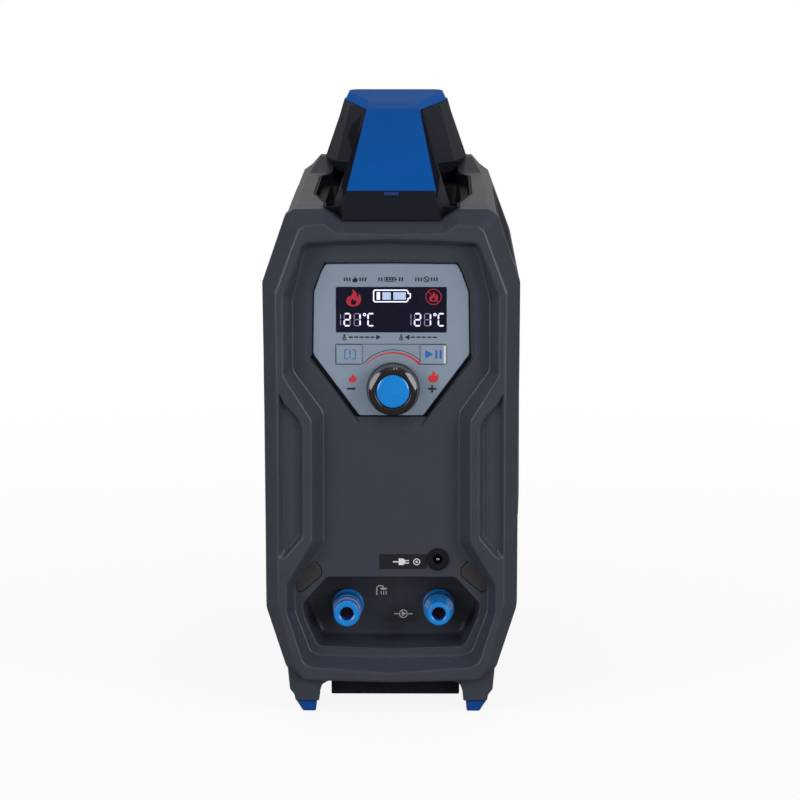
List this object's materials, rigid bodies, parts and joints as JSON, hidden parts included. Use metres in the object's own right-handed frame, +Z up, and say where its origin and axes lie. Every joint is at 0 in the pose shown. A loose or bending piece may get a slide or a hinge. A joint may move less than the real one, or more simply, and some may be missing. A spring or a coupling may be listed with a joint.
{
  "type": "portable gas water heater",
  "caption": "Box-shaped portable gas water heater with a sloping carry handle, recessed front control panel, display, knob, two buttons, hose fittings and socket in a lower bay.",
  "frame": {"origin": "on the ground, in the middle of the bounding box's footprint, between the four feet", "axes": "+X to the right seen from the front, +Y to the back, +Z up; the control panel faces -Y"},
  "size_m": [0.1608, 0.36, 0.3718],
  "materials": {
    "charcoal": "satin",
    "black": "matte",
    "blue": "satin",
    "foot_rubber": "matte",
    "gloss_blue": "gloss",
    "panel_grey": "satin",
    "key_grey": "satin",
    "display": "gloss",
    "knob_black": "gloss",
    "cover_grey": "matte",
    "seal_red": "satin",
    "seal_blue": "satin",
    "steel": "satin",
    "zinc_sheet": "satin",
    "exchanger": "satin",
    "copper": "satin",
    "brass": "satin",
    "valve_metal": "satin",
    "board": "matte",
    "battery": "satin",
    "ceramic": "matte"
  },
  "bodies": {
    "heater": {"front_frame": "charcoal", "front_fascia": "charcoal", "connection_bay": "black", "left_side_shell": "charcoal", "right_side_shell": "charcoal", "rear_frame": "charcoal", "rear_panel": "charcoal", "top_tray": "black", "bottom_plate": "charcoal", "drip_tray": "black", "handle_core": "black", "handle_cover": "blue", "foot_front_left": "foot_rubber", "foot_front_right": "foot_rubber", "foot_rear_left": "foot_rubber", "foot_rear_right": "foot_rubber", "control_panel": "panel_grey", "display_window": "display", "potentiometer": "black", "shower_fitting": "gloss_blue", "pump_fitting": "gloss_blue", "shower_seal": "seal_red", "pump_seal": "seal_blue", "dc_socket": "black", "dc_pin": "steel", "screw_cover_left": "cover_grey", "screw_cover_right": "cover_grey", "cover_screw_left": "steel", "cover_screw_right": "steel", "exhaust_grille_left": "black", "exhaust_grille_right": "black", "gas_inlet": "brass", "chassis_plate": "zinc_sheet", "front_bracket": "zinc_sheet", "rear_bracket": "zinc_sheet", "burner": "steel", "combustion_jacket": "zinc_sheet", "heat_exchanger": "exchanger", "flue_hood": "zinc_sheet", "gas_valve": "valve_metal", "gas_supply_pipe": "copper", "gas_manifold": "brass", "igniter_electrode": "ceramic", "flame_probe": "ceramic", "water_inlet_pipe": "copper", "water_outlet_pipe": "copper", "flow_sensor": "black", "battery_pack": "battery", "control_board": "board", "display_board": "board"},
    "knob": {"control_knob": "knob_black", "knob_cap": "gloss_blue", "knob_spindle": "steel"},
    "power_key": {"power_button": "key_grey"},
    "start_key": {"start_button": "key_grey"}
  },
  "joints": [
    {"name": "knob_turn", "type": "hinge", "parent": "heater", "child": "knob", "pos_m": [0.0012, -0.1656, 0.205], "axis": [0, -1, 0], "range_deg": [-60, 60]},
    {"name": "power_press", "type": "slide", "parent": "heater", "child": "power_key", "axis": [0, 1, 0], "range_m": [0, 0.0008], "stiffness_N_per_m": 1000, "springref_m": -0.001},
    {"name": "start_press", "type": "slide", "parent": "heater", "child": "start_key", "axis": [0, 1, 0], "range_m": [0, 0.0008], "stiffness_N_per_m": 1000, "springref_m": -0.001}
  ]
}
